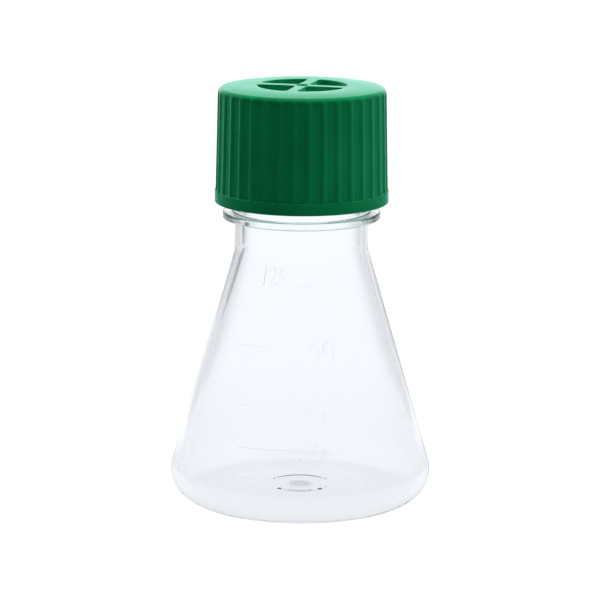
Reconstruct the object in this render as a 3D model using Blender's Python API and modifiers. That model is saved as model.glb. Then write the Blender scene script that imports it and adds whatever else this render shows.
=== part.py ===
"""A 125 mL plastic Erlenmeyer shaker flask with a vented screw cap.

The frame's origin is the centre of the standing ring, on the table. +Z is the
axis of the flask and of the cap's screw, and the volume marks face -Y.
Lengths are in metres and angles in degrees.
"""

import bmesh
import bpy
from math import atan, ceil, cos, degrees, radians, sin, sqrt, tan
from mathutils import Matrix, Vector

MM = 0.001
GAP = 0.3 * MM  # left between pieces that touch on the real object
FLASK_STEPS = 60  # facets round the axis
CAP_STEPS = 72
INNER_STEPS = 48
WELD = 1e-6  # merge distance of turned outlines

# Flask: a thin moulding, standing on a narrow ring round a shallow punt
BASE_RADIUS = 33.5 * MM
CORNER_RADIUS = 7.76 * MM
STAND_RING_INNER = 22.2 * MM
SHOULDER_Z = 65.3 * MM  # where the cone would meet the neck without its fillet
CONE_SLOPE = 0.291  # radius lost per unit of height
NECK_RADIUS = 17.1 * MM
SHOULDER_FILLET = 2.5 * MM
WALL = 1.5 * MM
FLOOR = 1.6 * MM
PUNT_HEIGHT = 1.7 * MM
PUNT_STEPS = 3
BOSS_RADIUS = 7.3 * MM  # the flat in the middle of the punt
BOSS_STEP = 0.35 * MM
BOSS_RAMP = 1.0 * MM
BEAD_BOTTOM_Z = 73.4 * MM
BEAD_TOP_Z = 75.2 * MM
BEAD_RADIUS = 20.15 * MM
BEAD_ROUND = 0.45 * MM
FINISH_RADIUS = 17.35 * MM  # neck above the bead, at the thread's root
RIM_Z = 103.1 * MM
EASE = 0.4 * MM  # eased edges of the neck and the rim

# Thread: 38 mm size with 6 threads per inch
PITCH = 25.4 * MM / 6
FLASK_THREAD_RADIUS = 18.6 * MM
FLASK_THREAD_TOP_Z = 100.2 * MM
FLASK_THREAD_TURN = 540.0
CAP_BORE_RADIUS = 19.1 * MM
CAP_THREAD_RADIUS = 17.9 * MM
CAP_THREAD_BELOW = 450.0  # turn from the flask thread's upper end down to the cap thread's lower end
CAP_THREAD_ABOVE = 60.0  # and on past that upper end
THREAD_SEAT = 1.6 * MM  # the cap's ridge sits this far under the flask's, and bears up on it
THREAD_FADE = 30.0  # each end runs out over this angle
THREAD_END_REACH = 0.08  # share of its height that the ridge keeps at its very ends
THREAD_ROOT_HALF = 1.15 * MM
THREAD_CREST_HALF = 0.45 * MM
THREAD_BURIED = 0.35 * MM

# Cap: a drafted shell with narrow grip ribs between flat pockets
CAP_BOTTOM_Z = 77.6 * MM
CAP_TOP_Z = 106.85 * MM  # the top's rim, just inside the rounded edge
CAP_TOP_RADIUS = 21.38 * MM
CAP_FOOT_RADIUS = 22.05 * MM
CAP_EDGE_RADIUS = 1.4 * MM
CROWN_RISE = 0.45 * MM  # the top's flat middle above its rim
CROWN_FLAT = 13.6 * MM  # radius of that flat
CROWN_STEPS = 3
CAP_PLATE = 2.1 * MM
CAP_CLOCK = 4.6  # turn of the ribs about the axis
BAND_HEIGHT = 2.9 * MM
BAND_PROUD = 0.15 * MM
RIB_COUNT = 36
RIB_WIDTH = 0.95 * MM
POCKET_DEPTH = 0.4 * MM
POCKET_CUT = 2.0 * MM  # reach of a pocket's cutter, out from the pocket's floor
POCKET_TOP_BELOW = 1.6 * MM  # from the cap's rim down to the pocket's arch
VENT_RADIUS = 11.4 * MM
VENT_BAR = 2.8 * MM
VENT_CORNER = 1.1 * MM
VENT_CLOCK = -14.5  # turn of the vent's cross about the axis
VENT_OVERCUT = 1.0 * MM  # reach of a vent's cutter past the plate, above and below
DIMPLE_RADIUS = 1.5 * MM
DIMPLE_DEPTH = 0.4 * MM
DIMPLE_SLOPE = 0.3 * MM
FOOT_EASE = 0.3 * MM
LEAD_IN = 0.5 * MM

# What the cap holds
WELD_LAND_INNER = 12.2 * MM
WELD_LAND_OUTER = 14.6 * MM
WELD_LAND_DEPTH = 0.2 * MM
BACKING_THICKNESS = 0.35 * MM
MEMBRANE_THICKNESS = 0.3 * MM
RING_INNER = 15.2 * MM
RING_OUTER = 18.6 * MM
FLAT_EASE = 0.08 * MM  # eased edges of the ring and the vent's layers

# Raised volume marks: height, and the angle each bar spans from the front
MARK_RAISE = 0.15 * MM
MARK_WIDTH = 0.7 * MM
MARK_BURIED = 0.4 * MM
MARKS = [
    (61.5 * MM, 15.0, 29.5),
    (43.8 * MM, -41.0, -7.0),
    (29.4 * MM, -34.0, -6.0),
    (19.5 * MM, -30.5, -5.5),
]
FRONT = -90.0  # the marks face -Y

CONE_TILT = degrees(atan(CONE_SLOPE))
CAP_UNDER_Z = CAP_TOP_Z - CAP_PLATE
CROWN_Z = CAP_TOP_Z + CROWN_RISE


def arc(centre_x, centre_z, radius, start, end, steps):
    """Points on a round stretch of an outline."""
    turns = [radians(start + (end - start) * i / steps) for i in range(steps + 1)]
    return [(centre_x + radius * cos(a), centre_z + radius * sin(a)) for a in turns]


def cone_radius(z):
    return NECK_RADIUS + CONE_SLOPE * (SHOULDER_Z - z)


def cap_radius(z):
    along = (z - CAP_BOTTOM_Z) / (CAP_TOP_Z - CAP_BOTTOM_Z)
    return CAP_FOOT_RADIUS + (CAP_TOP_RADIUS - CAP_FOOT_RADIUS) * along


def collection(name):
    made = bpy.data.collections.new(name)
    bpy.context.scene.collection.children.link(made)
    return made


def material(name, colour, roughness, transmission=0.0, ior=1.5):
    made = bpy.data.materials.new(name)
    made.use_nodes = True
    made.diffuse_color = (*colour, 1.0)
    shader = made.node_tree.nodes["Principled BSDF"]
    shader.inputs["Base Color"].default_value = (*colour, 1.0)
    shader.inputs["Roughness"].default_value = roughness
    shader.inputs["Metallic"].default_value = 0.0
    shader.inputs["Transmission Weight"].default_value = transmission
    shader.inputs["IOR"].default_value = ior
    return made


def add_object(name, mesh, home):
    made = bpy.data.objects.new(name, mesh)
    home.objects.link(made)
    return made


def turned(name, outline, steps, home, closed=False):
    """A turned solid. The outline lies at +X and runs down its outer side."""
    count = len(outline)
    edges = [(i, i + 1) for i in range(count - 1)]
    if closed:
        edges.append((count - 1, 0))
    mesh = bpy.data.meshes.new(name)
    mesh.from_pydata([(x, 0.0, z) for x, z in outline], edges, [])
    made = add_object(name, mesh, home)
    screw = made.modifiers.new("turn", "SCREW")
    screw.steps = steps
    screw.render_steps = steps
    screw.use_merge_vertices = True
    screw.merge_threshold = WELD
    return made


def boolean(target, tool, operation):
    """Cut or join with the EXACT solver, and hide the tool."""
    tool.hide_render = True
    tool.display_type = "WIRE"
    step = target.modifiers.new(f"{operation.lower()} {tool.name}", "BOOLEAN")
    step.operation = operation
    step.solver = "EXACT"
    step.object = tool


def swept_bar(name, section_at, start, end, facet, home):
    """A closed bar swept round the Z axis, in steps of about one facet.

    section_at(angle) gives the (radius, z) corners of its section there.
    """
    steps = ceil((end - start) / facet)
    bm = bmesh.new()
    loops = []
    for i in range(steps + 1):
        angle = start + (end - start) * i / steps
        a = radians(angle)
        loops.append([bm.verts.new((r * cos(a), r * sin(a), z)) for r, z in section_at(angle)])
    for here, after in zip(loops, loops[1:]):
        for i in range(len(here)):
            j = (i + 1) % len(here)
            bm.faces.new((here[i], here[j], after[j], after[i]))
    bm.faces.new(loops[0])
    bm.faces.new(loops[-1])
    bmesh.ops.recalc_face_normals(bm, faces=bm.faces)
    mesh = bpy.data.meshes.new(name)
    bm.to_mesh(mesh)
    bm.free()
    return add_object(name, mesh, home)


def thread_ridge(name, wall_radius, crest_radius, top_z, below, above, facet, home):
    """A thread's ridge on a wall, rising by PITCH each turn and fading at its ends.

    It spans the angles below and above the flask thread's upper end, where its
    height is top_z. Half a facet of offset lets it cross the facets cleanly.
    """
    start = facet / 2 - below
    end = facet / 2 + above
    outward = 1.0 if crest_radius > wall_radius else -1.0
    buried = wall_radius - outward * THREAD_BURIED
    root = THREAD_ROOT_HALF

    def section_at(angle):
        z = top_z + PITCH * (angle - start - below) / 360.0
        reach = min(1.0, (angle - start) / THREAD_FADE, (end - angle) / THREAD_FADE)
        reach = max(THREAD_END_REACH, reach)
        crest = buried + (crest_radius - buried) * reach
        half = root + (THREAD_CREST_HALF - root) * reach
        return [(buried, z - root), (crest, z - half), (crest, z + half), (buried, z + root)]

    return swept_bar(name, section_at, start, end, facet, home)


def punt(radius, edge):
    """Rise of the punt's dome, with the boss in its middle, above the standing ring."""
    along = max(0.0, (radius - BOSS_RADIUS) / (edge - BOSS_RADIUS))
    boss = BOSS_STEP if radius <= BOSS_RADIUS else 0.0
    return PUNT_HEIGHT * (1 - along**2) + boss


def punt_rows(edge):
    """Radii of the punt's rows, from the axis out to just short of its edge."""
    foot = BOSS_RADIUS + BOSS_RAMP
    return [0.0, BOSS_RADIUS] + [foot + (edge - foot) * i / PUNT_STEPS for i in range(PUNT_STEPS)]


def flask_outline():
    """From the floor's centre up the inside, over the rim and down the outside."""
    corner_x = BASE_RADIUS - CORNER_RADIUS
    fillet_x = NECK_RADIUS + SHOULDER_FILLET
    fillet_z = SHOULDER_Z + SHOULDER_FILLET * tan(radians(CONE_TILT) / 2)
    bore = NECK_RADIUS - WALL
    bead_x = BEAD_RADIUS - BEAD_ROUND

    inside = [(r, FLOOR + punt(r, corner_x)) for r in punt_rows(corner_x)]
    inside += arc(corner_x, CORNER_RADIUS, CORNER_RADIUS - FLOOR, -90.0, CONE_TILT, 5)
    inside += reversed(arc(fillet_x, fillet_z, SHOULDER_FILLET + WALL, 180.0, 180.0 + CONE_TILT, 2))
    inside += [(bore, RIM_Z - EASE), (bore + EASE, RIM_Z)]

    outside = arc(FINISH_RADIUS - EASE, RIM_Z - EASE, EASE, 90.0, 0.0, 2)
    outside += [(FINISH_RADIUS, BEAD_TOP_Z + EASE), (FINISH_RADIUS + EASE, BEAD_TOP_Z)]
    outside += arc(bead_x, BEAD_TOP_Z - BEAD_ROUND, BEAD_ROUND, 90.0, 0.0, 2)
    outside += arc(bead_x, BEAD_BOTTOM_Z + BEAD_ROUND, BEAD_ROUND, 0.0, -90.0, 2)
    outside += [(NECK_RADIUS + EASE, BEAD_BOTTOM_Z), (NECK_RADIUS, BEAD_BOTTOM_Z - EASE)]
    outside += arc(fillet_x, fillet_z, SHOULDER_FILLET, 180.0, 180.0 + CONE_TILT, 2)
    outside += arc(corner_x, CORNER_RADIUS, CORNER_RADIUS, CONE_TILT, -90.0, 8)
    outside += [(STAND_RING_INNER, 0.0)]
    outside += [(r, punt(r, STAND_RING_INNER)) for r in reversed(punt_rows(STAND_RING_INNER))]
    return inside + outside


def volume_mark(index, z, start, end, home):
    """One raised bar of the scale, following the cone."""

    def section_at(_angle):
        low, high = z - MARK_WIDTH / 2, z + MARK_WIDTH / 2
        corners = [(cone_radius(low) - MARK_BURIED, low), (cone_radius(low) + MARK_RAISE, low)]
        corners += [(cone_radius(high) + MARK_RAISE, high), (cone_radius(high) - MARK_BURIED, high)]
        return corners

    facet = 360.0 / FLASK_STEPS
    return swept_bar(f"volume_mark_{index}", section_at, FRONT + start, FRONT + end, facet, home)


def flask_body(home, tools):
    body = turned("flask_body", flask_outline(), FLASK_STEPS, home)
    facet = 360.0 / FLASK_STEPS
    radii = (FINISH_RADIUS, FLASK_THREAD_RADIUS)
    thread = thread_ridge("flask_thread", *radii, FLASK_THREAD_TOP_Z, FLASK_THREAD_TURN, 0.0, facet, tools)
    boolean(body, thread, "UNION")
    for index, (z, start, end) in enumerate(MARKS):
        boolean(body, volume_mark(index, z, start, end, tools), "UNION")
    return body


def crown_z(radius, rim):
    """Height of the slightly crowned top: flat in the middle, falling ever faster to its rim."""
    along = max(0.0, (radius - CROWN_FLAT) / (rim - CROWN_FLAT))
    return CROWN_Z - CROWN_RISE * along**2


def cap_outline():
    """From the dimple down the outer side, round the foot and up the bore."""
    edge = CAP_EDGE_RADIUS
    shoulder = cap_radius(CAP_TOP_Z - edge)
    band_z = CAP_BOTTOM_Z + BAND_HEIGHT
    band = CAP_FOOT_RADIUS + BAND_PROUD
    rim = shoulder - edge
    dimple_z = CROWN_Z - DIMPLE_DEPTH
    outside = [(0.0, dimple_z), (DIMPLE_RADIUS - DIMPLE_SLOPE, dimple_z)]
    outside += [(DIMPLE_RADIUS, CROWN_Z)]
    crown = [CROWN_FLAT + (rim - CROWN_FLAT) * i / CROWN_STEPS for i in range(CROWN_STEPS)]
    outside += [(r, crown_z(r, rim)) for r in crown]
    outside += arc(rim, CAP_TOP_Z - edge, edge, 90.0, 0.0, 5)
    outside += [(cap_radius(band_z), band_z), (band, band_z - BAND_PROUD)]
    outside += [(band, CAP_BOTTOM_Z + FOOT_EASE), (band - FOOT_EASE, CAP_BOTTOM_Z)]
    inside = [(CAP_BORE_RADIUS + LEAD_IN, CAP_BOTTOM_Z), (CAP_BORE_RADIUS, CAP_BOTTOM_Z + LEAD_IN)]
    inside += [(CAP_BORE_RADIUS, CAP_UNDER_Z)]
    inside += [(WELD_LAND_OUTER, CAP_UNDER_Z), (WELD_LAND_OUTER, CAP_UNDER_Z - WELD_LAND_DEPTH)]
    inside += [(WELD_LAND_INNER, CAP_UNDER_Z - WELD_LAND_DEPTH), (WELD_LAND_INNER, CAP_UNDER_Z)]
    inside += [(0.0, CAP_UNDER_Z)]
    return outside + inside


def slab_mesh(name, outline, move):
    """A flat outline pushed along move into a solid."""
    bm = bmesh.new()
    face = bm.faces.new([bm.verts.new(point) for point in outline])
    grown = bmesh.ops.extrude_face_region(bm, geom=[face])
    moved = [v for v in grown["geom"] if isinstance(v, bmesh.types.BMVert)]
    bmesh.ops.translate(bm, verts=moved, vec=move)
    bmesh.ops.recalc_face_normals(bm, faces=bm.faces)
    mesh = bpy.data.meshes.new(name)
    bm.to_mesh(mesh)
    bm.free()
    return mesh


def pocket_mesh():
    """One grip pocket's cutter at +X: a slab with an arched top, leaning with the draft."""
    foot_z = CAP_BOTTOM_Z + BAND_HEIGHT + BAND_PROUD
    top_z = CAP_TOP_Z - POCKET_TOP_BELOW
    half = (cap_radius(foot_z) * radians(360.0 / RIB_COUNT) - RIB_WIDTH) / 2
    outline = [(half, foot_z), *arc(0.0, top_z - half, half, 0.0, 180.0, 5), (-half, foot_z)]
    floor = [(cap_radius(z) - POCKET_DEPTH, y, z) for y, z in outline]
    return slab_mesh("pocket", floor, (POCKET_CUT, 0.0, 0.0))


def round_the_axis(name, mesh, count, first, home):
    """Copies of a cutter evenly spaced round the Z axis, as one object."""
    bm = bmesh.new()
    for i in range(count):
        known = len(bm.verts)
        bm.from_mesh(mesh)
        bm.verts.ensure_lookup_table()
        turn = Matrix.Rotation(radians(first + 360.0 * i / count), 4, "Z")
        bmesh.ops.transform(bm, matrix=turn, verts=bm.verts[known:])
    joined = bpy.data.meshes.new(name)
    bm.to_mesh(joined)
    bm.free()
    return add_object(name, joined, home)


def vent_mesh():
    """One vent's cutter: a quarter disc beside the cross, with rounded corners."""
    bar, corner = VENT_BAR / 2, VENT_CORNER
    centre = bar + corner
    reach = sqrt((VENT_RADIUS - corner) ** 2 - centre**2)
    meet = degrees(atan(centre / reach))
    outline = arc(reach, centre, corner, -90.0, meet, 4)
    outline += arc(0.0, 0.0, VENT_RADIUS, meet, 90.0 - meet, 8)[1:-1]
    outline += arc(centre, reach, corner, 90.0 - meet, 180.0, 4)
    outline += arc(centre, centre, corner, 180.0, 270.0, 4)
    below = CAP_UNDER_Z - VENT_OVERCUT
    return slab_mesh("vent", [(x, y, below) for x, y in outline], (0.0, 0.0, CAP_PLATE + 2 * VENT_OVERCUT))


def cap_shell(home, tools):
    shell = turned("cap_shell", cap_outline(), CAP_STEPS, home)
    shell.rotation_euler.z = radians(CAP_CLOCK)
    first = CAP_CLOCK + 180.0 / RIB_COUNT
    boolean(shell, round_the_axis("grip_pockets", pocket_mesh(), RIB_COUNT, first, tools), "DIFFERENCE")
    boolean(shell, round_the_axis("vent_openings", vent_mesh(), 4, VENT_CLOCK, tools), "DIFFERENCE")
    top_z = FLASK_THREAD_TOP_Z - THREAD_SEAT
    facet = 360.0 / CAP_STEPS
    radii = (CAP_BORE_RADIUS, CAP_THREAD_RADIUS)
    reach = (CAP_THREAD_BELOW, CAP_THREAD_ABOVE)
    thread = thread_ridge("cap_thread", *radii, top_z, *reach, facet, tools)
    boolean(shell, thread, "UNION")
    return shell


def flat_ring(name, inner, outer, low_z, high_z, home):
    """A flat ring with eased edges. inner 0 makes a disc."""
    ease = FLAT_EASE
    outline = [(outer - ease, high_z), (outer, high_z - ease), (outer, low_z + ease), (outer - ease, low_z)]
    if inner == 0.0:
        return turned(name, [(0.0, high_z), *outline, (0.0, low_z)], INNER_STEPS, home)
    outline += [(inner + ease, low_z), (inner, low_z + ease), (inner, high_z - ease), (inner + ease, high_z)]
    return turned(name, outline, INNER_STEPS, home, closed=True)


def cap_inner_pieces(home):
    """The sealing ring over the rim, and the vent's two layers inside it."""
    ring = flat_ring("sealing_ring", RING_INNER, RING_OUTER, RIM_Z + GAP, CAP_UNDER_Z - GAP, home)
    backing_top = CAP_UNDER_Z - WELD_LAND_DEPTH - GAP
    backing_low = backing_top - BACKING_THICKNESS
    backing = flat_ring("membrane_backing", 0.0, WELD_LAND_OUTER, backing_low, backing_top, home)
    membrane_top = backing_low - GAP
    membrane_low = membrane_top - MEMBRANE_THICKNESS
    membrane = flat_ring("vent_membrane", 0.0, WELD_LAND_OUTER, membrane_low, membrane_top, home)
    return ring, backing, membrane


def build():
    for obj in list(bpy.data.objects):
        bpy.data.objects.remove(obj)
    home = collection("erlenmeyer_flask")
    tools = collection("cutters")
    cap_axis = add_object("cap_axis", None, home)  # the screw's axis, which all the cap's pieces share
    cap_axis.location = Vector((0.0, 0.0, CAP_BOTTOM_Z))

    body = flask_body(home, tools)
    shell = cap_shell(home, tools)
    ring, backing, membrane = cap_inner_pieces(home)
    for piece in (shell, ring, backing, membrane):
        piece.parent = cap_axis
        piece.matrix_parent_inverse = Matrix.Translation(-cap_axis.location)

    clear = material("clear_plastic", (0.93, 0.96, 0.98), 0.04, transmission=1.0, ior=1.57)
    body.data.materials.append(clear)
    shell.data.materials.append(material("green_plastic", (0.004, 0.155, 0.058), 0.38))
    ring.data.materials.append(material("silicone", (0.82, 0.83, 0.80), 0.45))
    backing.data.materials.append(material("fibre_backing", (0.85, 0.86, 0.85), 0.9))
    membrane.data.materials.append(material("ptfe_film", (0.93, 0.93, 0.92), 0.6))


build()
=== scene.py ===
"""The look of a 125 mL plastic Erlenmeyer shaker flask with a vented green screw cap.

Lengths are in metres and angles in degrees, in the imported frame: the flask
stands on z = 0 with its axis on +Z, and its volume scale faces -Y.
"""

import random
from math import atan, ceil, cos, degrees, hypot, radians, sin, sqrt, tan

import bmesh
import bpy
from mathutils import Matrix, Vector


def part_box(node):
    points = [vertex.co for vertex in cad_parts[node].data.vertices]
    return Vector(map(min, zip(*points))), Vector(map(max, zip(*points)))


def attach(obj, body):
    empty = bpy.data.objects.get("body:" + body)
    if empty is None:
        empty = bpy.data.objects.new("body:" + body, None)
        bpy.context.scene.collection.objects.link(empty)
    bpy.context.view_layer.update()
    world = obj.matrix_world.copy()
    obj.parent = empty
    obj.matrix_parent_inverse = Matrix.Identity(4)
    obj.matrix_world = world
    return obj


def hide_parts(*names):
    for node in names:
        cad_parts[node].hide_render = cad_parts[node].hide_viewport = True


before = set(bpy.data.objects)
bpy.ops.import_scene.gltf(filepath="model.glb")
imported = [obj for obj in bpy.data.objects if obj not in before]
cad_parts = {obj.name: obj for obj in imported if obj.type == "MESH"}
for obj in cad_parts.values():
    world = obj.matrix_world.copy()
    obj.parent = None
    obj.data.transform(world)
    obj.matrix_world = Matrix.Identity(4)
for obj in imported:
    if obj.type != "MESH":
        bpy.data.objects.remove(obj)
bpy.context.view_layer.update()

MM = 0.001
WELD = 1e-6  # vertices closer than this are one
FRONT = -90.0  # the side with the scale
SHARP_ANGLE = 32.0  # edges sharper than this stay crisp

# Sizes that the frame gives
flask_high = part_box("flask_body")[1]
cap_low, cap_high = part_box("cap_shell")
ring_low, ring_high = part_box("sealing_ring")
backing_low, backing_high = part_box("membrane_backing")
membrane_low, membrane_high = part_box("vent_membrane")
BASE_RADIUS = flask_high.x
RIM_Z = flask_high.z
CAP_BOTTOM_Z = cap_low.z
CROWN_Z = cap_high.z

# Flask
FLASK_SEGMENTS = 216
CONE_RINGS = 36
CORNER_STEPS = 70
CORNER_RADIUS = 7.76 * MM
STAND_RING_INNER = 22.2 * MM
SHOULDER_Z = 65.3 * MM
CONE_SLOPE = 0.291  # growth of the radius for each unit of depth
NECK_RADIUS = 17.1 * MM
SHOULDER_FILLET = 2.5 * MM
FILLET_STEPS = 8
WALL = 1.5 * MM
BASE_WALL = 1.6 * MM
PUNT_HEIGHT = 1.7 * MM
PUNT_STEPS = 20
BOSS_RADIUS = 7.3 * MM
BOSS_HEIGHT = 0.14 * MM
BOSS_RAMP = 1.8 * MM
BOSS_STEPS = 6
GATE_RADIUS = 3.0 * MM
GATE_RELIEF = 0.04 * MM
GATE_STEPS = 6
GATE_MARGIN = 1.6  # the row round the gate, in gate radii
BEAD_BOTTOM_Z = 73.4 * MM
BEAD_TOP_Z = 75.2 * MM
BEAD_RADIUS = 20.15 * MM
BEAD_ROUND = 0.45 * MM
BEAD_STEPS = 6
FINISH_RADIUS = 17.35 * MM
RIM_TAPER = 1.2 * MM  # the finish narrows to the rim over this height
RIM_STEPS = 12
EASE = 0.4 * MM  # radius of the small inside corners
EASE_STEPS = 5
CONE_TILT = degrees(atan(CONE_SLOPE))

# Thread: 38 mm size with 6 threads per inch
PITCH = 25.4 * MM / 6
THREAD_STEP = 3.0  # angle between a ridge's sections
THREAD_POINTS = 8  # spans across the ridge
FLASK_THREAD_RADIUS = 18.6 * MM
FLASK_THREAD_TOP_Z = 100.2 * MM
FLASK_THREAD_TURN = 540.0  # angle that the flask's ridge runs down from its top
CAP_BORE_RADIUS = 19.1 * MM
CAP_THREAD_RADIUS = 17.9 * MM
CAP_THREAD_BELOW = 450.0  # angles that the cap's ridge runs down and up from where it starts
CAP_THREAD_ABOVE = 60.0
THREAD_SEAT = 1.6 * MM  # the cap's ridge lies this far below the flask's
THREAD_FADE = 30.0  # angle over which a ridge's ends fade
THREAD_ROOT_HALF = 1.15 * MM
THREAD_CREST_HALF = 0.45 * MM
THREAD_BURIED = 0.35 * MM  # depth of a ridge's foot in the wall
THREAD_FLANK = 2.2  # how fast a flank rises across the ridge
THREAD_START = 0.12  # share of its height that a flank starts with
THREAD_END_REACH = 0.08  # share of its height that the ridge keeps at its very ends

# Volume scale, raised on the cone
MARK_RAISE = 0.13 * MM
MARK_WIDTH = 0.7 * MM
MARK_EASE = 0.2 * MM  # width of a bar's sloping edge
MARK_BURIED = 0.4 * MM
NUMBER_HEIGHT = 5.0 * MM
NUMBER_CURVE_STEPS = 3
NUMBER_CUT = 2.5  # a number is cut into strips of this angle, to wrap it
BARS = [  # height, and the angles from the front where it starts and ends
    (61.5 * MM, 15.0, 29.5),
    (43.8 * MM, -41.0, -7.0),
    (29.4 * MM, -34.0, -6.0),
    (19.5 * MM, -30.5, -5.5),
]
NUMBERS = [  # text, and the same three values
    ("125 mL", 61.5 * MM, -31.0, 9.0),
    ("100", 43.8 * MM, -1.0, 22.0),
    ("75", 29.4 * MM, 1.0, 14.0),
    ("50", 19.5 * MM, 0.0, 12.0),
]

# Cap
CAP_TOP_RADIUS = 21.38 * MM
CAP_FOOT_RADIUS = 22.05 * MM
CAP_EDGE_RADIUS = 1.4 * MM
CROWN_RISE = 0.45 * MM  # the top's flat middle above its rim
CROWN_FLAT = 13.6 * MM
CROWN_STEPS = 8
CROWN_LOOPS = (12.6 * MM, 3.0 * MM)  # rows of the flat top outside and inside the vents
CAP_PLATE = 2.1 * MM
CAP_CLOCK = 4.6  # turn of the ribs
BAND_HEIGHT = 2.9 * MM
BAND_PROUD = 0.15 * MM
BAND_ROUND = 0.12 * MM
FOOT_ROUND = 0.3 * MM
LEAD_IN = 0.5 * MM
ROUND_STEPS = 4  # for the cap's small roundings
FOOT_STEPS = 5
RIB_COUNT = 36
RIB_WIDTH = 1.32 * MM
POCKET_DEPTH = 0.36 * MM
WALL_SPREAD = 1.16 * MM  # width of a pocket's sloping wall
WALL_STEPS = 8
POCKET_FULL = 1.9 * MM  # the pockets run out over the shoulder, from here below the rim
POCKET_GONE = 0.3 * MM  # to here
POCKET_ROWS = 6
SHOULDER_STEPS = 14
VENT_RADIUS = 11.4 * MM
VENT_BAR = 2.8 * MM
VENT_CORNER = 1.1 * MM
VENT_ROUND = 0.22 * MM
VENT_FLARE_STEPS = 5
VENT_LIP = 0.003 * MM  # height over the crown where the flare meets its straight end
VENT_LIP_SHARE = 0.93  # part of the flare that is done there
VENT_CORNER_STEPS = 8
VENT_SIDE_STEPS = 20
VENT_CLOCK = -14.5  # turn of the vents
DIMPLE_RADIUS = 1.5 * MM
DIMPLE_DEPTH = 0.4 * MM
DIMPLE_ROUND = 0.2 * MM
DIMPLE_BOWL = ((0.85, 0.03 * MM), (0.5, 0.0), (0.0, 0.0))  # share of the radius, height over the floor
WELD_LAND_INNER = 12.2 * MM
WELD_LAND_OUTER = 14.6 * MM
WELD_LAND_DEPTH = 0.2 * MM
CAP_TOP_Z = CROWN_Z - CROWN_RISE
CAP_UNDER_Z = CAP_TOP_Z - CAP_PLATE
LEDGE_Z = CAP_BOTTOM_Z + BAND_HEIGHT + BAND_PROUD

# Sealing ring and filter films
SEAL_BORE = 15.2 * MM
HELD_SEGMENTS = 144
HELD_EASE = 0.35  # radius of their edges, as a share of their thickness
HELD_ROWS = (0.2, 0.4, 0.6, 0.8)  # rows of a film's flat faces, as shares of its radius
HELD_SHARP_ANGLE = 40.0

# Camera: a long lens looking down on the flask, with a slight roll
CAMERA_PLACE = Vector((0.0, -789.95 * MM, 219.11 * MM))
CAMERA_PITCH = 11.96
CAMERA_ROLL = 0.344
FOCAL_LENGTH = 188.94  # in millimetres, like the sensor's width
SENSOR = 36.0
SHIFT_X = -0.00175


def arc(centre_x, centre_z, radius, start, end, steps):
    """Points on a round stretch of an outline."""
    turns = [radians(start + (end - start) * i / steps) for i in range(steps + 1)]
    return [(centre_x + radius * cos(a), centre_z + radius * sin(a)) for a in turns]


def between(start, end, count):
    """Points evenly spaced strictly between two points of an outline."""
    shares = [i / (count + 1) for i in range(1, count + 1)]
    return [(start[0] + (end[0] - start[0]) * t, start[1] + (end[1] - start[1]) * t) for t in shares]


def fall(along):
    """A smooth fall from 1 to 0 as along goes from 0 to 1, and level before and after."""
    return (1 + cos(radians(180.0 * min(1.0, max(0.0, along))))) / 2


def cone_radius(z):
    return NECK_RADIUS + CONE_SLOPE * (SHOULDER_Z - z)


def cap_radius(z):
    along = (z - CAP_BOTTOM_Z) / (CAP_TOP_Z - CAP_BOTTOM_Z)
    return CAP_FOOT_RADIUS + (CAP_TOP_RADIUS - CAP_FOOT_RADIUS) * along


def add_object(name, mesh):
    made = bpy.data.objects.new(name, mesh)
    bpy.context.scene.collection.objects.link(made)
    return made


def object_from(bm, name):
    mesh = bpy.data.meshes.new(name)
    bm.to_mesh(mesh)
    bm.free()
    return add_object(name, mesh)


def bridge(bm, here, after, closed):
    """Faces between two rows of vertices. A row of one vertex is a pole."""
    count = max(len(here), len(after))
    for i in range(count if closed else count - 1):
        j = (i + 1) % count
        corners = [here[i % len(here)], here[j % len(here)], after[j % len(after)], after[i % len(after)]]
        bm.faces.new(list(dict.fromkeys(corners)))


def revolved(bm, outline, segments, closed=False):
    """A turned surface. Points on the axis become poles."""
    rings = []
    for radius, z in outline:
        if radius < WELD:
            rings.append([bm.verts.new((0.0, 0.0, z))])
            continue
        turns = [radians(360.0 * i / segments) for i in range(segments)]
        rings.append([bm.verts.new((radius * cos(a), radius * sin(a), z)) for a in turns])
    for here, after in zip(rings, rings[1:]):
        bridge(bm, here, after, True)
    if closed:
        bridge(bm, rings[-1], rings[0], True)


def swept(bm, section_at, start, end, step):
    """A closed bar swept round the Z axis. section_at(angle) gives its (radius, z) corners."""
    steps = ceil((end - start) / step)
    loops = []
    for i in range(steps + 1):
        angle = start + (end - start) * i / steps
        a = radians(angle)
        loops.append([bm.verts.new((r * cos(a), r * sin(a), z)) for r, z in section_at(angle)])
    for here, after in zip(loops, loops[1:]):
        bridge(bm, here, after, True)
    bm.faces.new(loops[0])
    bm.faces.new(loops[-1])


def thread_ridge(bm, wall_radius, crest_radius, top_z, below, above):
    """A rounded thread ridge that rises by PITCH each turn and fades at both ends."""
    outward = 1.0 if crest_radius > wall_radius else -1.0
    buried = wall_radius - outward * THREAD_BURIED
    start = THREAD_STEP / 2 - below
    end = THREAD_STEP / 2 + above

    def section_at(angle):
        z = top_z + PITCH * (angle - start - below) / 360.0
        reach = min(1.0, (angle - start) / THREAD_FADE, (end - angle) / THREAD_FADE)
        reach = max(THREAD_END_REACH, reach)
        height = (crest_radius - buried) * reach
        points = [(buried, z - THREAD_ROOT_HALF)]
        rise = THREAD_ROOT_HALF - THREAD_CREST_HALF
        for i in range(1, THREAD_POINTS):
            along = i / THREAD_POINTS
            swell = min(1.0, THREAD_FLANK * min(along, 1 - along) + THREAD_START)
            half = THREAD_ROOT_HALF - rise * swell * reach
            side = (along > 0.5) - (along < 0.5)
            points.append((buried + height * sqrt(swell), z + side * half))
        points.append((buried, z + THREAD_ROOT_HALF))
        return points

    swept(bm, section_at, start, end, THREAD_STEP)


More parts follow.
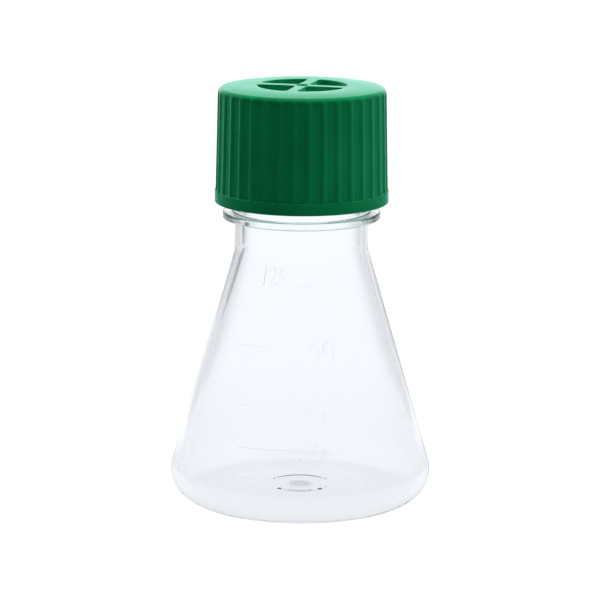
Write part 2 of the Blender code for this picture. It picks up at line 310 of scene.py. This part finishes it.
def outward_faces(bm):
    bmesh.ops.recalc_face_normals(bm, faces=bm.faces)


def evaluated_mesh(obj):
    bpy.context.view_layer.update()
    depsgraph = bpy.context.evaluated_depsgraph_get()
    return bpy.data.meshes.new_from_object(obj.evaluated_get(depsgraph), depsgraph=depsgraph)


def boolean(obj, tool, operation):
    """Cut or join with the EXACT solver, apply it, and drop the tool."""
    step = obj.modifiers.new(operation.lower(), "BOOLEAN")
    step.operation = operation
    step.solver = "EXACT"
    step.object = tool
    mesh = evaluated_mesh(obj)
    obj.modifiers.clear()
    obj.data = mesh
    bpy.data.objects.remove(tool)


def finish_shading(obj, sharp_angle):
    """Smooth faces with crisp edges, where large flat faces keep their own normal."""
    obj.data.shade_smooth()
    obj.data.set_sharp_from_angle(angle=radians(sharp_angle))
    weighted = obj.modifiers.new("weighted normals", "WEIGHTED_NORMAL")
    weighted.keep_sharp = True


# Flask


def punt(radius, edge):
    """Rise of the punt's dome, with the boss in its middle, above the standing ring."""
    out = radius - BOSS_RADIUS
    return PUNT_HEIGHT * fall(out / (edge - BOSS_RADIUS)) + BOSS_HEIGHT * fall(out / BOSS_RAMP)


def punt_rows(edge):
    """Radii of the punt's rows: close together on the gate and the boss's ramp."""
    rows = [GATE_RADIUS * i / GATE_STEPS for i in range(GATE_STEPS + 1)]
    rows += [GATE_RADIUS * GATE_MARGIN]
    rows += [BOSS_RADIUS + BOSS_RAMP * i / BOSS_STEPS for i in range(BOSS_STEPS + 1)]
    start = rows[-1]
    return rows + [start + (edge - start) * i / PUNT_STEPS for i in range(1, PUNT_STEPS)]


def flask_outline():
    """From the floor's centre up the inside, over the rim and down the outside."""
    corner_x = BASE_RADIUS - CORNER_RADIUS
    fillet_x = NECK_RADIUS + SHOULDER_FILLET
    fillet_z = SHOULDER_Z + SHOULDER_FILLET * tan(radians(CONE_TILT) / 2)
    bore = NECK_RADIUS - WALL
    rim_round = WALL / 2

    inside = [(r, BASE_WALL + punt(r, corner_x)) for r in punt_rows(corner_x)]
    inside += arc(corner_x, CORNER_RADIUS, CORNER_RADIUS - BASE_WALL, -90.0, CONE_TILT, CORNER_STEPS)
    inside_fillet = SHOULDER_FILLET + WALL
    inside += reversed(arc(fillet_x, fillet_z, inside_fillet, 180.0, 180.0 + CONE_TILT, FILLET_STEPS))
    outside = arc(bore + rim_round, RIM_Z - rim_round, rim_round, 180.0, 0.0, RIM_STEPS)
    outside += [(FINISH_RADIUS, RIM_Z - RIM_TAPER)]
    outside += arc(FINISH_RADIUS + EASE, BEAD_TOP_Z + EASE, EASE, 180.0, 270.0, EASE_STEPS)
    bead_x = BEAD_RADIUS - BEAD_ROUND
    outside += arc(bead_x, BEAD_TOP_Z - BEAD_ROUND, BEAD_ROUND, 90.0, 0.0, BEAD_STEPS)
    outside += arc(bead_x, BEAD_BOTTOM_Z + BEAD_ROUND, BEAD_ROUND, 0.0, -90.0, BEAD_STEPS)
    outside += arc(NECK_RADIUS + EASE, BEAD_BOTTOM_Z - EASE, EASE, 90.0, 180.0, EASE_STEPS)
    outside += arc(fillet_x, fillet_z, SHOULDER_FILLET, 180.0, 180.0 + CONE_TILT, FILLET_STEPS)
    corner_top = arc(corner_x, CORNER_RADIUS, CORNER_RADIUS, CONE_TILT, -90.0, CORNER_STEPS)
    outside += between(outside[-1], corner_top[0], CONE_RINGS) + corner_top
    outside += [(STAND_RING_INNER, 0.0)]
    outside += [(r, punt(r, STAND_RING_INNER)) for r in reversed(punt_rows(STAND_RING_INNER))]
    return inside + outside


def roughen_gate(bm, rng):
    """The rough break-off mark of the moulding gate, in the middle of the boss."""
    boss_top = PUNT_HEIGHT + BOSS_HEIGHT
    for vert in bm.verts:
        if hypot(vert.co.x, vert.co.y) < GATE_RADIUS - WELD and abs(vert.co.z - boss_top) < WELD:
            vert.co.z -= rng.uniform(0.0, GATE_RELIEF)


def volume_bar(bm, z, start, end):
    """One raised bar of the scale, with eased edges."""
    half = MARK_WIDTH / 2
    crest = half - MARK_EASE

    def section_at(_angle):
        levels = [(-half, -MARK_BURIED), (-half, MARK_RAISE * 0.5), (-crest, MARK_RAISE)]
        levels += [(crest, MARK_RAISE), (half, MARK_RAISE * 0.5), (half, -MARK_BURIED)]
        return [(cone_radius(z + up) + out, z + up) for up, out in levels]

    swept(bm, section_at, FRONT + start, FRONT + end, 360.0 / FLASK_SEGMENTS)


def volume_number(bm, text, z, start, end):
    """A raised number wrapped on the cone between two angles."""
    curve = bpy.data.curves.new(text, "FONT")
    curve.body = text
    curve.resolution_u = NUMBER_CURVE_STEPS
    curve.extrude = 0.5  # any depth: the wrapping sets the real one
    writing = add_object("writing", curve)
    letters = evaluated_mesh(writing)
    bpy.data.objects.remove(writing)
    flat = bmesh.new()
    flat.from_mesh(letters)
    bmesh.ops.remove_doubles(flat, verts=flat.verts, dist=1e-4)
    left = min(v.co.x for v in flat.verts)
    right = max(v.co.x for v in flat.verts)
    low = min(v.co.y for v in flat.verts)
    high = max(v.co.y for v in flat.verts)
    cuts = ceil((end - start) / NUMBER_CUT)
    for i in range(1, cuts):
        place = (left + (right - left) * i / cuts, 0.0, 0.0)
        geometry = flat.verts[:] + flat.edges[:] + flat.faces[:]
        bmesh.ops.bisect_plane(flat, geom=geometry, dist=1e-5, plane_co=place, plane_no=(1.0, 0.0, 0.0))
    for vert in flat.verts:
        angle = radians(FRONT + start + (end - start) * (vert.co.x - left) / (right - left))
        up = ((vert.co.y - low) / (high - low) - 0.5) * NUMBER_HEIGHT * cos(radians(CONE_TILT))
        out = MARK_RAISE if vert.co.z > 0 else -MARK_BURIED
        radius = cone_radius(z + up) + out
        vert.co = (radius * cos(angle), radius * sin(angle), z + up)
    wrapped = bpy.data.meshes.new(text)
    flat.to_mesh(wrapped)
    flat.free()
    bm.from_mesh(wrapped)


def flask():
    bm = bmesh.new()
    revolved(bm, flask_outline(), FLASK_SEGMENTS)
    roughen_gate(bm, random.Random(7))
    outward_faces(bm)
    body = object_from(bm, "flask_fine")
    relief = bmesh.new()
    thread_ridge(relief, FINISH_RADIUS, FLASK_THREAD_RADIUS, FLASK_THREAD_TOP_Z, FLASK_THREAD_TURN, 0.0)
    for z, start, end in BARS:
        volume_bar(relief, z, start, end)
    for text, z, start, end in NUMBERS:
        volume_number(relief, text, z, start, end)
    outward_faces(relief)
    boolean(body, object_from(relief, "relief"), "UNION")
    finish_shading(body, SHARP_ANGLE)
    return body


# Cap


def pocket_edge():
    """Across a pocket's soft wall, from the rib down to the floor: (distance outside the wall, depth)."""
    shares = [i / WALL_STEPS for i in range(WALL_STEPS + 1)]
    return [(WALL_SPREAD * (0.5 - t), POCKET_DEPTH * (1 - fall(t))) for t in shares]


def rib_row():
    """Across one rib pitch, from crest to crest: (turn from the pocket's middle, depth)."""
    foot = cap_radius(LEDGE_Z)
    crest = 180.0 / RIB_COUNT
    half = (foot * radians(2 * crest) - RIB_WIDTH) / 2
    wall = [(degrees((half + d) / foot), depth) for d, depth in pocket_edge()]
    return [(-crest, 0.0)] + [(-turn, depth) for turn, depth in wall] + wall[::-1] + [(crest, 0.0)]


def rim_radius():
    return cap_radius(CAP_TOP_Z - CAP_EDGE_RADIUS) - CAP_EDGE_RADIUS


def crown_z(radius):
    """Height of the slightly crowned top: flat in the middle, falling ever faster to its rim."""
    along = max(0.0, (radius - CROWN_FLAT) / (rim_radius() - CROWN_FLAT))
    return CROWN_Z - CROWN_RISE * along**2


def grip_outline():
    """The ribbed side from the ledge up, and over the rounded shoulder to the rim."""
    full_z = CAP_TOP_Z - POCKET_FULL
    heights = [LEDGE_Z + (full_z - LEDGE_Z) * i / POCKET_ROWS for i in range(POCKET_ROWS + 1)]
    shoulder_z = CAP_TOP_Z - CAP_EDGE_RADIUS
    side = [(cap_radius(z), z) for z in heights]
    return side + arc(rim_radius(), shoulder_z, CAP_EDGE_RADIUS, 0.0, 90.0, SHOULDER_STEPS)


def cap_sector():
    """One rib pitch of the whole cap, as rings that meet their neighbours' exactly."""
    bm = bmesh.new()
    across = rib_row()
    rows = []
    for radius, z in grip_outline():
        share = (CAP_TOP_Z - z - POCKET_GONE) / (POCKET_FULL - POCKET_GONE)
        kept = 1 - fall(share)
        polar = [(radians(turn), radius - depth * kept) for turn, depth in across]
        rows.append([bm.verts.new((r * cos(a), r * sin(a), z)) for a, r in polar])
    for here, after in zip(rows, rows[1:]):
        bridge(bm, here, after, False)
    for edge, outline in ((rows[-1], cap_top_outline()), (rows[0], cap_foot_outline())):
        here = edge
        for radius, z in outline:
            if radius < WELD:
                after = [bm.verts.new((0.0, 0.0, z))]
            else:
                turns = [radians(turn) for turn, _depth in across]
                after = [bm.verts.new((radius * cos(a), radius * sin(a), z)) for a in turns]
            bridge(bm, here, after, False)
            here = after
    return bm


def cap_top_outline():
    """From inside the rim over the crown to the dimple's middle."""
    rim = rim_radius()
    crown = [rim + (CROWN_FLAT - rim) * i / CROWN_STEPS for i in range(1, CROWN_STEPS + 1)]
    outline = [(r, crown_z(r)) for r in crown]
    outline += [(r, CROWN_Z) for r in CROWN_LOOPS]
    lip = DIMPLE_RADIUS + DIMPLE_ROUND
    outline += arc(lip, CROWN_Z - DIMPLE_ROUND, DIMPLE_ROUND, 90.0, 180.0, ROUND_STEPS)
    floor_z = CROWN_Z - DIMPLE_DEPTH
    outline += [(DIMPLE_RADIUS * share, floor_z + up) for share, up in DIMPLE_BOWL]
    return outline


def cap_foot_outline():
    """From the ledge over the band, round the foot, up the bore and in under the plate."""
    band = CAP_FOOT_RADIUS + BAND_PROUD
    outline = arc(band - BAND_ROUND, LEDGE_Z - BAND_ROUND, BAND_ROUND, 90.0, 0.0, ROUND_STEPS)
    outline += arc(band - FOOT_ROUND, CAP_BOTTOM_Z + FOOT_ROUND, FOOT_ROUND, 0.0, -90.0, FOOT_STEPS)
    lead_x = CAP_BORE_RADIUS + LEAD_IN
    outline += arc(lead_x, CAP_BOTTOM_Z + LEAD_IN, LEAD_IN, -90.0, -180.0, ROUND_STEPS)
    outline += arc(CAP_BORE_RADIUS - EASE, CAP_UNDER_Z - EASE, EASE, 0.0, 90.0, ROUND_STEPS)
    outline += [(WELD_LAND_OUTER, CAP_UNDER_Z), (WELD_LAND_OUTER, CAP_UNDER_Z - WELD_LAND_DEPTH)]
    outline += [(WELD_LAND_INNER, CAP_UNDER_Z - WELD_LAND_DEPTH), (WELD_LAND_INNER, CAP_UNDER_Z)]
    outline += [(0.0, CAP_UNDER_Z)]
    return outline


def vent_ring(grow):
    """One vent's outline, grown by an even margin: a quarter disc with rounded corners."""
    centre = VENT_BAR / 2 + VENT_CORNER
    corner = VENT_CORNER + grow
    reach = sqrt((VENT_RADIUS - VENT_CORNER) ** 2 - centre**2)
    meet = degrees(atan(centre / reach))
    ring = arc(reach, centre, corner, -90.0, meet, VENT_CORNER_STEPS)
    ring += arc(0.0, 0.0, VENT_RADIUS + grow, meet, 90.0 - meet, VENT_SIDE_STEPS)[1:-1]
    ring += arc(centre, reach, corner, 90.0 - meet, 180.0, VENT_CORNER_STEPS)
    ring += arc(centre, centre, corner, 180.0, 270.0, VENT_CORNER_STEPS)
    return ring


def vent_tool():
    """The four vents' cutter. It flares at the top, which rounds the openings' edges."""
    bm = bmesh.new()
    flare = [radians(90.0 * i / VENT_FLARE_STEPS) for i in range(VENT_FLARE_STEPS)]
    start_z = CROWN_Z - VENT_ROUND
    levels = [(0.0, CAP_UNDER_Z - MM)]
    levels += [(VENT_ROUND - VENT_ROUND * cos(a), start_z + VENT_ROUND * sin(a)) for a in flare]
    levels += [(VENT_ROUND * VENT_LIP_SHARE, CROWN_Z + VENT_LIP), (VENT_ROUND, CROWN_Z + MM)]
    for quarter in range(4):
        turn = Matrix.Rotation(radians(VENT_CLOCK + 90.0 * quarter), 4, "Z")
        rings = []
        for grow, z in levels:
            rings.append([bm.verts.new(turn @ Vector((x, y, z))) for x, y in vent_ring(grow)])
        for here, after in zip(rings, rings[1:]):
            bridge(bm, here, after, True)
        bm.faces.new(rings[0])
        bm.faces.new(rings[-1])
    outward_faces(bm)
    return object_from(bm, "vent_tool")


def cap():
    sector = cap_sector()
    pitch_mesh = bpy.data.meshes.new("pitch")
    sector.to_mesh(pitch_mesh)
    sector.free()
    bm = bmesh.new()
    for i in range(RIB_COUNT):
        known = len(bm.verts)
        bm.from_mesh(pitch_mesh)
        bm.verts.ensure_lookup_table()
        turn = Matrix.Rotation(radians(CAP_CLOCK + 360.0 * (i + 0.5) / RIB_COUNT), 4, "Z")
        bmesh.ops.transform(bm, matrix=turn, verts=bm.verts[known:])
    bmesh.ops.remove_doubles(bm, verts=bm.verts, dist=WELD)
    outward_faces(bm)
    shell = object_from(bm, "cap_fine")
    boolean(shell, vent_tool(), "DIFFERENCE")
    ridge = bmesh.new()
    top_z = FLASK_THREAD_TOP_Z - THREAD_SEAT
    thread_ridge(ridge, CAP_BORE_RADIUS, CAP_THREAD_RADIUS, top_z, CAP_THREAD_BELOW, CAP_THREAD_ABOVE)
    outward_faces(ridge)
    boolean(shell, object_from(ridge, "cap_thread"), "UNION")
    finish_shading(shell, SHARP_ANGLE)
    return shell


# What the cap holds


def rounded_ring(name, low, high, inner=0.0):
    """A flat ring or disc with rounded edges, in the box that the frame gives."""
    ease = (high.z - low.z) * HELD_EASE
    top_z = high.z - ease
    bottom_z = low.z + ease
    outline = arc(high.x - ease, top_z, ease, 90.0, 0.0, ROUND_STEPS)
    outline += arc(high.x - ease, bottom_z, ease, 0.0, -90.0, ROUND_STEPS)
    bm = bmesh.new()
    if inner:
        outline += arc(inner + ease, bottom_z, ease, -90.0, -180.0, ROUND_STEPS)
        outline += arc(inner + ease, top_z, ease, 180.0, 90.0, ROUND_STEPS)
        revolved(bm, outline, HELD_SEGMENTS, closed=True)
    else:
        across = [high.x * share for share in HELD_ROWS]
        top = [(0.0, high.z)] + [(r, high.z) for r in across]
        bottom = [(r, low.z) for r in reversed(across)] + [(0.0, low.z)]
        revolved(bm, top + outline + bottom, HELD_SEGMENTS)
    outward_faces(bm)
    made = object_from(bm, name)
    finish_shading(made, HELD_SHARP_ANGLE)
    return made


# Node trees


class Nodes:
    """A node tree, with short calls for the nodes used here."""

    def __init__(self, tree, coordinates):
        self.tree = tree
        self.place = self.add("ShaderNodeTexCoord").outputs[coordinates]

    def add(self, kind, **settings):
        node = self.tree.nodes.new(kind)
        for key, value in settings.items():
            setattr(node, key, value)
        return node

    def link(self, source, target):
        self.tree.links.new(source, target)

    def noise(self, scale, detail=2.0, roughness=0.5, stretch=None):
        """Noise at so many features a metre, from 0 to 1."""
        made = self.add("ShaderNodeTexNoise")
        made.inputs["Scale"].default_value = scale
        made.inputs["Detail"].default_value = detail
        made.inputs["Roughness"].default_value = roughness
        source = self.place
        if stretch:
            mapping = self.add("ShaderNodeMapping")
            mapping.inputs["Scale"].default_value = stretch
            self.link(self.place, mapping.inputs["Vector"])
            source = mapping.outputs["Vector"]
        self.link(source, made.inputs["Vector"])
        return made.outputs["Fac"]

    def spread(self, source, from_low, from_high, low, high, smooth=False):
        """A value carried from one range to another."""
        made = self.add("ShaderNodeMapRange", clamp=True)
        if smooth:
            made.interpolation_type = "SMOOTHSTEP"
        made.inputs["From Min"].default_value = from_low
        made.inputs["From Max"].default_value = from_high
        made.inputs["To Min"].default_value = low
        made.inputs["To Max"].default_value = high
        self.link(source, made.inputs["Value"])
        return made.outputs["Result"]

    def maths(self, operation, first, second=0.5):
        """A sum, product or other function of values or sockets."""
        made = self.add("ShaderNodeMath", operation=operation)
        for socket, value in zip(made.inputs, (first, second)):
            if isinstance(value, (int, float)):
                socket.default_value = value
            else:
                self.link(value, socket)
        return made.outputs["Value"]

    def axis(self, name):
        """One coordinate of the surface point."""
        made = self.add("ShaderNodeSeparateXYZ")
        self.link(self.place, made.inputs["Vector"])
        return made.outputs[name]

    def from_axis(self):
        """How far the surface point is from the Z axis."""
        squares = [self.maths("POWER", self.axis(name), 2.0) for name in "XY"]
        return self.maths("SQRT", self.maths("ADD", *squares))

    def mix(self, factor, first, second):
        """A colour between two colours."""
        made = self.add("ShaderNodeMix", data_type="RGBA")
        self.link(factor, made.inputs["Factor"])
        for socket, colour in (("A", first), ("B", second)):
            slot = [s for s in made.inputs if s.name == socket and s.type == "RGBA"][0]
            if isinstance(colour, tuple):
                slot.default_value = (*colour, 1.0)
            else:
                self.link(colour, slot)
        return [s for s in made.outputs if s.type == "RGBA"][0]

    def patches(self, direction, base, patches):
        """Soft round patches of light, by direction, added to an even base."""
        total = base
        for azimuth, elevation, inner, outer, strength in patches:
            a = radians(azimuth)
            e = radians(elevation)
            facing = self.add("ShaderNodeVectorMath", operation="DOT_PRODUCT")
            self.link(direction, facing.inputs[0])
            facing.inputs[1].default_value = (sin(a) * cos(e), -cos(a) * cos(e), sin(e))
            edges = (cos(radians(outer)), cos(radians(inner)))
            patch = self.spread(facing.outputs["Value"], *edges, 0.0, strength, smooth=True)
            total = self.maths("ADD", total, patch)
        return total

    def by_ray(self, diffuse, gloss, mirror, clear, camera):
        """One strength for each kind of ray that arrives. A later kind overrules an earlier one."""
        path = self.add("ShaderNodeLightPath").outputs
        total = diffuse
        kinds = [("Is Glossy Ray", gloss), ("Is Singular Ray", mirror)]
        kinds += [("Is Transmission Ray", clear), ("Is Camera Ray", camera)]
        for kind, value in kinds:
            kept = self.maths("MULTIPLY", self.maths("SUBTRACT", 1.0, path[kind]), total)
            total = self.maths("ADD", kept, self.maths("MULTIPLY", path[kind], value))
        return total

    def tint(self):
        """White for the camera, the studio's cool light for everything else."""
        path = self.add("ShaderNodeLightPath").outputs
        return self.mix(path["Is Camera Ray"], COOL, WHITE)


class Finish(Nodes):
    """A new material, with the object's own coordinates."""

    def __init__(self, name):
        self.material = bpy.data.materials.new(name)
        self.material.use_nodes = True
        super().__init__(self.material.node_tree, "Object")
        self.shader = self.tree.nodes["Principled BSDF"]

    def bump(self, *layers):
        """Relief from (height 0 to 1, depth in metres) layers, one over the other."""
        before = None
        for height, depth in layers:
            made = self.add("ShaderNodeBump")
            made.inputs["Strength"].default_value = 1.0
            made.inputs["Distance"].default_value = depth
            self.link(height, made.inputs["Height"])
            if before:
                self.link(before, made.inputs["Normal"])
            before = made.outputs["Normal"]
        self.link(before, self.shader.inputs["Normal"])

    def set(self, **values):
        """Values on the shader's own sockets. _ stands for a space in a socket's name."""
        for name, value in values.items():
            socket = self.shader.inputs[name.replace("_", " ")]
            if isinstance(value, bpy.types.NodeSocket):
                self.link(value, socket)
            elif isinstance(value, tuple):
                socket.default_value = (*value, 1.0)
            else:
                socket.default_value = value


# Materials. Noise scales are features a metre, and bump depths are in metres.

FROST_EDGE = (2.4 * MM, 3.45 * MM)  # radii between which the gate mark's frost fades
FROST_TOP = (2.4 * MM, 3.0 * MM)  # heights between the base's underside and its inside
FROST_ROUGHNESS = 0.35
CLEAR_TINT = (0.978, 0.984, 0.997)
GREEN_DARK = (0.0006, 0.114, 0.036)
GREEN_LIGHT = (0.0010, 0.142, 0.046)
GRAIN_EDGE = (0.05 * MM, 0.02 * MM)  # depths below the rim between which the top's grain starts
CAP_PAINTED_GLOW = 0.75  # painted glow on the cap's inside, standing in for light that comes through its wall
CAP_PAINTED_GLOW_COLOUR = (0.31, 0.62, 0.51)
CAP_PAINTED_GLOW_EDGE = 0.2 * MM
SHEEN_TINT = (0.1, 1.0, 0.85)


def clear_plastic():
    """Clear polyester: glassy, with faint flow ripples, and frosted at the gate mark."""
    m = Finish("clear_plastic_fine")
    near_axis = m.spread(m.from_axis(), *FROST_EDGE, 1.0, 0.0, smooth=True)
    underside = m.spread(m.axis("Z"), *FROST_TOP, 1.0, 0.0)
    gate = m.maths("MULTIPLY", near_axis, underside)
    ripple = m.noise(60.0, detail=1.0, stretch=(1.0, 1.0, 0.35))
    grain = m.maths("MULTIPLY", m.noise(2500.0, detail=3.0), gate)
    m.bump((ripple, 0.05 * MM), (grain, 0.02 * MM))
    frost = m.spread(gate, 0.0, 1.0, 0.0, FROST_ROUGHNESS)
    m.set(Base_Color=CLEAR_TINT, Roughness=frost, IOR=1.57, Transmission_Weight=1.0)
    return m.material


def green_plastic():
    """Green polypropylene: slightly cloudy, with a translucent veil, a fine mould grain on its top, and a
    painted glow inside.
    """
    m = Finish("green_plastic_fine")
    on_top = m.spread(m.axis("Z"), *[CAP_TOP_Z - depth for depth in GRAIN_EDGE], 0.0, 1.0)
    cloud = m.noise(90.0, detail=3.0)
    colour = m.mix(m.spread(cloud, 0.3, 0.7, 0.0, 1.0), GREEN_DARK, GREEN_LIGHT)
    orange_peel = m.noise(700.0, detail=2.0)
    grain = m.maths("MULTIPLY", m.noise(4200.0, detail=3.0, roughness=0.7), on_top)
    m.bump((orange_peel, 0.006 * MM), (grain, 0.03 * MM))
    rough = m.maths("ADD", m.spread(cloud, 0.2, 0.8, 0.3, 0.38), m.spread(on_top, 0.0, 1.0, 0.0, 0.05))
    # Painted glow: the bore and the plate's underside give off green light, as if lit through the wall.
    painted_glow_in_bore = m.spread(m.from_axis(), CAP_BORE_RADIUS, CAP_BORE_RADIUS + CAP_PAINTED_GLOW_EDGE, CAP_PAINTED_GLOW, 0.0)
    under_plate = m.spread(m.axis("Z"), CAP_UNDER_Z, CAP_UNDER_Z + 0.1 * CAP_PAINTED_GLOW_EDGE, 1.0, 0.0)
    inside = m.maths("MULTIPLY", painted_glow_in_bore, under_plate)
    m.set(Base_Color=colour, Roughness=rough, IOR=1.49, Specular_IOR_Level=0.025)
    m.set(Emission_Color=CAP_PAINTED_GLOW_COLOUR, Emission_Strength=inside)
    m.set(Sheen_Weight=0.17, Sheen_Roughness=0.35, Sheen_Tint=SHEEN_TINT)
    return m.material


def silicone():
    """Milky silicone rubber, with a dusty surface."""
    m = Finish("silicone_fine")
    cloud = m.noise(400.0, detail=4.0)
    colour = m.mix(cloud, (0.76, 0.77, 0.74), (0.86, 0.87, 0.85))
    m.bump((m.noise(2200.0, detail=3.0), 0.02 * MM))
    m.set(Base_Color=colour, Roughness=m.spread(cloud, 0.2, 0.8, 0.42, 0.58), Subsurface_Weight=0.1)
    return m.material


def ptfe_film():
    """White porous film: matt, with a fine stretched web."""
    m = Finish("ptfe_film_fine")
    web = m.noise(1800.0, detail=5.0, roughness=0.7, stretch=(1.0, 0.4, 1.0))
    colour = m.mix(web, (0.86, 0.86, 0.85), (0.94, 0.94, 0.93))
    m.bump((web, 0.03 * MM))
    m.set(Base_Color=colour, Roughness=m.spread(web, 0.2, 0.8, 0.55, 0.75), Sheen_Weight=0.15)
    return m.material


def fibre_backing():
    """Spun-bonded fibre sheet: crossing fibres and small bonded points."""
    m = Finish("fibre_backing_fine")
    along = m.noise(1600.0, detail=4.0, stretch=(1.0, 0.12, 1.0))
    across = m.noise(1600.0, detail=4.0, stretch=(0.12, 1.0, 1.0))
    fibres = m.maths("MAXIMUM", along, across)
    dots = m.add("ShaderNodeTexVoronoi", feature="F1")
    dots.inputs["Scale"].default_value = 900.0
    m.link(m.place, dots.inputs["Vector"])
    bonded = m.spread(dots.outputs["Distance"], 0.15, 0.3, 0.0, 1.0)
    colour = m.mix(fibres, (0.72, 0.73, 0.72), (0.92, 0.93, 0.92))
    m.bump((fibres, 0.06 * MM), (bonded, 0.05 * MM))
    m.set(Base_Color=colour, Roughness=m.spread(fibres, 0.3, 0.7, 0.95, 0.8), Sheen_Weight=0.3)
    return m.material


# Studio. Its strength is set for each kind of ray: diffuse for matt surfaces, gloss for the cap's soft
# reflections, mirror for the flask's sharp ones, and clear for what is seen through the flask's walls.
# A patch of light is azimuth, elevation, inner and outer angle, and strength, which darkens where it is
# negative. Azimuth 0 is the side that the scale faces, 90 is to its right, and 180 is behind.

CLEAR_BOUNCES = 48  # light is caught inside the clear walls for long
COOL = (0.95, 0.975, 1.0)
WHITE = (1.0, 1.0, 1.0)
SEEN = 1.1  # strength that the camera sees round the object
DIFFUSE_BASE = 0.03
DIFFUSE_PATCHES = [
    (180.0, 86.0, 6.0, 30.0, 16.5),
    (102.0, 5.0, 12.0, 38.0, 4.8),
    (145.0, 5.0, 10.0, 30.0, 10.0),
    (60.0, 10.0, 8.0, 24.0, 2.2),
    (5.0, 10.0, 8.0, 24.0, 0.8),
    (-136.0, 8.0, 10.0, 30.0, 16.0),
]
GLOSS_BASE = 0.01
GLOSS_PATCHES = [
    (180.0, 6.0, 14.0, 34.0, 4.0),
    (180.0, -25.0, 10.0, 50.0, 0.25),
    (0.0, -90.0, 30.0, 74.0, 0.6),
]
MIRROR_BASE = 0.03
MIRROR_PATCHES = [
    (180.0, -8.0, 34.0, 52.0, 0.8),
    (0.0, -90.0, 30.0, 74.0, 0.6),
    (28.0, 44.0, 12.0, 20.0, 0.5),
]
CLEAR_BASE = 0.995
CLEAR_PATCHES = [
    (-152.0, -8.0, 8.0, 20.0, -0.32),
    (152.0, -8.0, 8.0, 20.0, -0.3),
    (-160.0, -7.0, 2.0, 6.0, -0.8),
]
FLOOR_SIZE = 8.0  # half of its side
FLOOR_CELLS = 8
FLOOR_DROP = 0.02 * MM  # gap under the flask's standing ring
FLOOR_GLOW = 1.05
FLOOR_GREY = (0.05, 0.05, 0.05)
FLOOR_SHARE = 0.06  # taken off the clear glow, because the floor is lit as well
FLOOR_DIFFUSE = 0.5
FLOOR_PAINTED_SHADOW = 0.95  # painted shadow: the floor's clear glow under the flask, against its glow far off
FLOOR_PAINTED_SHADOW_REACH = (50.0 * MM, 170.0 * MM)  # from the axis
FLASK_MIDDLE = 70.0 * MM  # height from which the floor's patches are aimed


def studio_world():
    """A soft white studio: bright behind and above, darker behind the camera."""
    world = bpy.data.worlds.new("studio")
    world.use_nodes = True
    bpy.context.scene.world = world
    n = Nodes(world.node_tree, "Generated")
    strengths = [
        n.patches(n.place, DIFFUSE_BASE, DIFFUSE_PATCHES),
        n.patches(n.place, GLOSS_BASE, GLOSS_PATCHES),
        n.patches(n.place, MIRROR_BASE, MIRROR_PATCHES),
        n.patches(n.place, CLEAR_BASE, CLEAR_PATCHES),
    ]
    background = n.tree.nodes["Background"]
    n.link(n.tint(), background.inputs["Color"])
    n.link(n.by_ray(*strengths, SEEN), background.inputs["Strength"])
    world.cycles.sampling_method = "NONE"


def floor_material():
    """A glowing white table top. Its patches go on where the world's end, below the horizon."""
    m = Finish("floor_white")
    aim = m.add("ShaderNodeVectorMath", operation="SUBTRACT")
    m.link(m.place, aim.inputs[0])
    aim.inputs[1].default_value = (0.0, 0.0, FLASK_MIDDLE)
    unit = m.add("ShaderNodeVectorMath", operation="NORMALIZE")
    m.link(aim.outputs["Vector"], unit.inputs[0])
    direction = unit.outputs["Vector"]
    clear = m.patches(direction, CLEAR_BASE - FLOOR_SHARE, CLEAR_PATCHES)
    # Painted shadow: what the clear walls show of the floor is darker near the flask.
    painted_shadow = m.spread(m.from_axis(), *FLOOR_PAINTED_SHADOW_REACH, FLOOR_PAINTED_SHADOW, 1.0, smooth=True)
    strengths = [
        FLOOR_DIFFUSE,
        m.patches(direction, GLOSS_BASE, GLOSS_PATCHES),
        m.patches(direction, MIRROR_BASE, MIRROR_PATCHES),
        m.maths("MULTIPLY", clear, painted_shadow),
    ]
    m.set(Base_Color=FLOOR_GREY, Roughness=0.9, Specular_IOR_Level=0.0)
    m.set(Emission_Color=m.tint(), Emission_Strength=m.by_ray(*strengths, FLOOR_GLOW))
    m.material.cycles.emission_sampling = "NONE"
    return m.material


def studio():
    """The world, the floor, the camera, and the settings that the clear walls need."""
    studio_world()
    bm = bmesh.new()
    bmesh.ops.create_grid(bm, x_segments=FLOOR_CELLS, y_segments=FLOOR_CELLS, size=FLOOR_SIZE)
    floor = object_from(bm, "floor")
    floor.location.z = -FLOOR_DROP
    floor.data.materials.append(floor_material())
    lens = bpy.data.cameras.new("camera")
    lens.sensor_width = SENSOR
    lens.lens = FOCAL_LENGTH
    lens.shift_x = SHIFT_X
    camera = add_object("camera", lens)
    roll = Matrix.Rotation(radians(CAMERA_ROLL), 4, "Z")
    pitch = Matrix.Rotation(radians(90.0 - CAMERA_PITCH), 4, "X")
    camera.matrix_world = Matrix.Translation(CAMERA_PLACE) @ pitch @ roll
    bpy.context.scene.camera = camera
    bpy.context.scene.view_settings.view_transform = "Standard"
    for kind in ("max_bounces", "glossy_bounces", "transmission_bounces"):
        setattr(bpy.context.scene.cycles, kind, CLEAR_BOUNCES)


def place(piece, body, node, slot_name, material):
    """Give a piece its material and its body, and hide the CAD node that it stands for. The slot name is
    not used.
    """
    piece.data.materials.clear()
    piece.data.materials.append(material)
    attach(piece, body)
    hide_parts(node)


place(flask(), "flask", "flask_body", "clear_plastic", clear_plastic())
place(cap(), "cap", "cap_shell", "green_plastic", green_plastic())
seal = rounded_ring("sealing_ring_fine", ring_low, ring_high, SEAL_BORE)
place(seal, "seal", "sealing_ring", "silicone", silicone())
film = rounded_ring("vent_membrane_fine", membrane_low, membrane_high)
place(film, "cap", "vent_membrane", "ptfe_film", ptfe_film())
sheet = rounded_ring("membrane_backing_fine", backing_low, backing_high)
place(sheet, "cap", "membrane_backing", "fibre_backing", fibre_backing())
studio()
